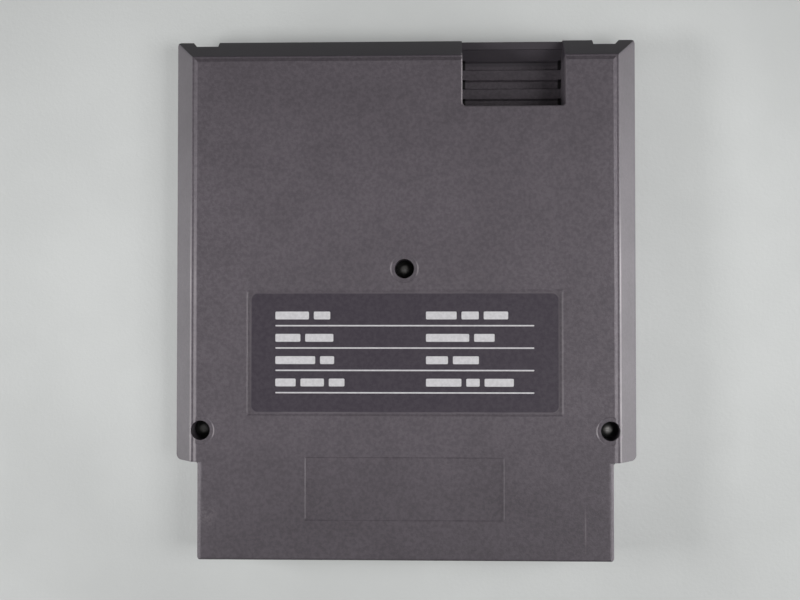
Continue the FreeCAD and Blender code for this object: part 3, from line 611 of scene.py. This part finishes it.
# Rounded shading: merges the loose triangles and smooths edges that turn less than the limit.
def makeSmoothing(t):
    group = bpy.data.node_groups.new("smooth_turned_faces", "GeometryNodeTree")
    group.is_modifier = True
    group.interface.new_socket("Geometry", in_out="INPUT", socket_type="NodeSocketGeometry")
    group.interface.new_socket("Geometry", in_out="OUTPUT", socket_type="NodeSocketGeometry")
    enter = group.nodes.new("NodeGroupInput")
    leave = group.nodes.new("NodeGroupOutput")
    weld = group.nodes.new("GeometryNodeMergeByDistance")
    weld.inputs["Distance"].default_value = t["weldReach"]
    faces = group.nodes.new("GeometryNodeSetShadeSmooth")
    edges = group.nodes.new("GeometryNodeSetShadeSmooth")
    edges.domain = "EDGE"
    angle = group.nodes.new("GeometryNodeInputMeshEdgeAngle")
    gentle = group.nodes.new("FunctionNodeCompare")
    gentle.operation = "LESS_THAN"
    gentle.inputs[1].default_value = math.radians(t["smoothBelow"])
    group.links.new(enter.outputs[0], weld.inputs["Geometry"])
    group.links.new(weld.outputs["Geometry"], faces.inputs["Geometry"])
    group.links.new(faces.outputs["Geometry"], edges.inputs["Geometry"])
    group.links.new(angle.outputs["Unsigned Angle"], gentle.inputs[0])
    group.links.new(gentle.outputs["Result"], edges.inputs["Shade Smooth"])
    group.links.new(edges.outputs["Geometry"], leave.inputs[0])
    return group


smoothing = makeSmoothing(turnedFaces)
for node in nodes.values():
    node.modifiers.new("smooth", "NODES").node_group = smoothing
print("turned faces smoothed")


# New pieces

sharpAbove = 40.0  # degrees


# A mesh piece at the origin that rides on the case and takes a finish.
def addPiece(name, points, faces, finish):
    mesh = bpy.data.meshes.new(name)
    mesh.from_pydata(points.tolist(), [], faces)
    mesh.validate()
    mesh.shade_smooth()
    mesh.set_sharp_from_angle(angle=math.radians(sharpAbove))
    mesh.materials.append(finishes[finish])
    piece = bpy.data.objects.new(name, mesh)
    bpy.context.scene.collection.objects.link(piece)
    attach(piece, "root")
    return piece


# Print on the label: two columns of bars over thin rules in white ink, in millimetres from the label's
# middle.
labelPrint = {
    "rise": 0.02 * mm,
    "sunk": 0.01 * mm,
    "cornerSteps": 6,
    "gap": 1.25,
    "barHeight": 2.0,
    "barRadius": 0.3,
    "columns": (-33.0, 5.5),  # where each column starts
    "rows": [  # the widths in each column
        {"y": 9.5, "widths": ((8.6, 4.2), (7.8, 4.4, 6.2))},
        {"y": 3.8, "widths": ((6.4, 7.2), (11.0, 5.2))},
        {"y": -1.9, "widths": ((10.2, 3.6), (5.6, 6.6))},
        {"y": -7.6, "widths": ((5.2, 6.0, 4.0), (9.0, 3.4, 7.4))},
    ],
    "rule": {"drop": 2.6, "height": 0.35, "width": 66.0, "radius": 1 / 6},
}


# Bars side by side from a start: each one begins where the widths and gaps before it end.
def barRow(start, y, height, widths, gap, radius):
    widths = np.array(widths)
    lefts = start + np.concatenate([[0], np.cumsum(widths[:-1] + gap)])
    return np.column_stack([lefts + widths / 2, np.full(len(widths), y), widths / 2,
                            np.full(len(widths), height / 2), np.full(len(widths), radius)])


# All the print as rows of middle x, middle y, half width, half height and corner radius.
def layOutPrint(p):
    parts, rule = [], p["rule"]
    for row in p["rows"]:
        for start, widths in zip(p["columns"], row["widths"]):
            parts.append(barRow(start, row["y"], p["barHeight"], widths, p["gap"], p["barRadius"]))
        parts.append(barRow(p["columns"][0], row["y"] - rule["drop"], rule["height"], (rule["width"],), 0.0,
                            rule["radius"]))
    return np.concatenate(parts) * mm


# Rounded bars with a thickness: a quarter circle about each inset corner gives one ring of points,
# which is repeated at the two heights and closed by a top, a bottom and side faces.
def addPrint(p):
    bars = layOutPrint(p)
    middle = (np.array(labelLow) + np.array(labelHigh)) / 2
    quarter = np.linspace(0, math.pi / 2, p["cornerSteps"])
    turn = (np.arange(4)[:, None] * math.pi / 2 + quarter).ravel()
    signX = np.repeat([1, -1, -1, 1], p["cornerSteps"])
    signY = np.repeat([1, 1, -1, -1], p["cornerSteps"])
    x, y, halfX, halfY, radius = (bars[:, i:i + 1] for i in range(5))
    ringX = middle[0] + x + signX * (halfX - radius) + radius * np.cos(turn)
    ringY = middle[1] + y + signY * (halfY - radius) + radius * np.sin(turn)
    count, ring = ringX.shape
    heights = labelHigh[2] + np.array([p["rise"], -p["sunk"]])
    points = np.stack([np.stack([ringX, ringY, np.full_like(ringX, z)], axis=-1) for z in heights], axis=1)
    index = np.arange(count * 2 * ring).reshape(count, 2, ring)
    top, under = index[:, 0], index[:, 1]
    sides = np.stack([top, under, np.roll(under, -1, axis=1), np.roll(top, -1, axis=1)], axis=-1)
    faces = top.tolist() + under[:, ::-1].tolist() + sides.reshape(-1, 4).tolist()
    addPiece("label_print", points.reshape(-1, 3), faces, "label_ink")


addPrint(labelPrint)
print("label printed")


caseScrew = {
    "headHeight": 2.2 * mm,
    "dome": 0.55 * mm,
    "lobes": 6,
    "lobeDepth": 0.28 * mm,
    "lobeStart": 0.6,  # of the head's radius
    "crownStart": 0.08,  # the innermost ring, of the head's radius
    "threadRoot": 1.05 * mm,
    "threadCrest": 1.24 * mm,
    "pitch": 1.1 * mm,
    "tipLength": 0.9 * mm,
    "tipShare": 0.35,  # of the shank's radius is left at the tip
    "around": 48,
    "crownRings": 12,
    "headRings": 4,
    "shankRings": 70,
}


# One screw as rings about its axis, from the crown down: a dome that falls with the square of the radius,
# a head whose radius dips with the cosine of the lobes, and a shank whose radius follows a spiral ridge
# and narrows evenly towards the tip.
def screwSurface(s, x, y):
    turn = np.linspace(0, 2 * math.pi, s["around"], endpoint=False)
    dip = s["lobeDepth"] * (0.5 + 0.5 * np.cos(s["lobes"] * turn)) ** 2
    crownZ, seatZ, tipZ = screwHigh[2], screwHigh[2] - s["headHeight"], screwLow[2]
    share = np.linspace(s["crownStart"], 1, s["crownRings"])[:, None]
    crownR = share * headRadius - dip * np.clip((share - s["lobeStart"]) / (1 - s["lobeStart"]), 0, 1)
    crownRingZ = crownZ - s["dome"] * share ** 2 + 0 * turn
    headZ = np.linspace(crownZ - s["dome"], seatZ, s["headRings"] + 1)[1:, None] + 0 * turn
    headR = headRadius - dip + 0 * headZ
    shankZ = np.linspace(seatZ, tipZ, s["shankRings"])[:, None] + 0 * turn
    ridge = np.abs(2 * ((shankZ / s["pitch"] + turn / (2 * math.pi)) % 1) - 1)
    shankR = s["threadRoot"] + (s["threadCrest"] - s["threadRoot"]) * ridge
    taper = s["tipShare"] + (1 - s["tipShare"]) * (shankZ - tipZ) / s["tipLength"]
    shankR = shankR * np.clip(taper, 0, 1)
    radius = np.concatenate([crownR, headR, shankR])
    height = np.concatenate([crownRingZ, headZ, shankZ])
    rings = np.stack([x + radius * np.cos(turn), y + radius * np.sin(turn), height], axis=-1)
    poles = np.array([[x, y, crownZ], [x, y, tipZ]])
    index = np.arange(rings.shape[0] * s["around"]).reshape(rings.shape[:2])
    ahead = np.roll(index, -1, axis=1)
    skin = np.stack([index[:-1], index[1:], ahead[1:], ahead[:-1]], axis=-1).reshape(-1, 4)
    topPole, tipPole = index.size, index.size + 1
    crownFan = np.stack([np.full(s["around"], topPole), index[0], ahead[0]], axis=-1)
    tipFan = np.stack([np.full(s["around"], tipPole), ahead[-1], index[-1]], axis=-1)
    return np.concatenate([rings.reshape(-1, 3), poles]), [skin, crownFan, tipFan]


# The three screws as one piece: each one's faces count on from the points of those before it.
def addScrews(s):
    points, faces, offset = [], [], 0
    for x, y in screwPlaces:
        screwPoints, screwFaces = screwSurface(s, x, y)
        points.append(screwPoints)
        faces += [face for part in screwFaces for face in (part + offset).tolist()]
        offset += len(screwPoints)
    screws = addPiece("threaded_screws", np.concatenate(points), faces, "screw_steel")
    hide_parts("case_screws")


addScrews(caseScrew)
print("screws turned")


# Table top

table = {
    "reach": 3.0,
    "colours": (tone(202, 204, 203), tone(208, 210, 209)),
    "specular": 0.2,
    "roughness": (0.55, 0.65),
    "grain": 900.0,
    "bumpDepth": 0.02 * mm,
    "seenColour": tone(198, 200, 199),  # what the camera sees without the shadow
    "seenShare": 0.3,
    "farAway": (148.0 * mm, 200.0 * mm),  # the camera sees only the even glow beyond this
    "middle": (0.0, 25.0 * mm, 0.0),
    "outwardShade": (80.0 * mm, 132.0 * mm, 0.86),  # painted shade: outwards from the middle, and the share that is left
}


# The table's own lit surface, mixed with an even glow for the camera and for reflections, both with painted
# shade outwards. Far away the camera's share of the glow rises to one.
def makeTableTop(t):
    material, tree, shader, place = newMaterial("table", specular=t["specular"])
    grain = useGrain(tree, place, t["grain"])
    start, finish, share = t["outwardShade"]
    distance = tree.nodes.new("ShaderNodeVectorMath")
    distance.operation = "DISTANCE"
    distance.inputs[1].default_value = t["middle"]
    tree.links.new(place, distance.inputs[0])
    # painted shade, darker outwards from the middle
    outwards = rangeNode(tree, distance.outputs["Value"], start, finish, 1.0, share)
    colour = scaleColour(tree, mixColours(tree, grain["Blotch"], *t["colours"]), outwards)
    tree.links.new(colour, shader.inputs["Base Color"])
    tree.links.new(rangeNode(tree, grain["Speckle"], 0.0, 1.0, *t["roughness"]), shader.inputs["Roughness"])
    addBump(tree, grain["Height"], shader, t["bumpDepth"])
    path = tree.nodes.new("ShaderNodeLightPath")
    seen = mathNode(tree, "MAXIMUM", path.outputs["Is Camera Ray"], path.outputs["Is Glossy Ray"])
    glow = tree.nodes.new("ShaderNodeEmission")
    tree.links.new(scaleColour(tree, t["seenColour"][:3], outwards), glow.inputs["Color"])
    blend = tree.nodes.new("ShaderNodeMixShader")
    farShare = rangeNode(tree, distance.outputs["Value"], *t["farAway"], 0.0, 1.0 - t["seenShare"])
    share = mathNode(tree, "ADD", mathNode(tree, "MULTIPLY", seen, t["seenShare"]),
                     mathNode(tree, "MULTIPLY", path.outputs["Is Camera Ray"], farShare))
    tree.links.new(share, blend.inputs["Fac"])
    tree.links.new(shader.outputs["BSDF"], blend.inputs[1])
    tree.links.new(glow.outputs["Emission"], blend.inputs[2])
    tree.links.new(blend.outputs["Shader"], tree.nodes["Material Output"].inputs["Surface"])
    return material


# A square floor that reaches equally far from the origin on all sides.
def addTable(t):
    corners = np.array([[-1, -1, 0], [1, -1, 0], [1, 1, 0], [-1, 1, 0]]) * t["reach"]
    mesh = bpy.data.meshes.new("table")
    mesh.from_pydata(corners.tolist(), [], [[0, 1, 2, 3]])
    floor = bpy.data.objects.new("table", mesh)
    bpy.context.scene.collection.objects.link(floor)
    mesh.materials.append(makeTableTop(t))


addTable(table)
print("table laid")
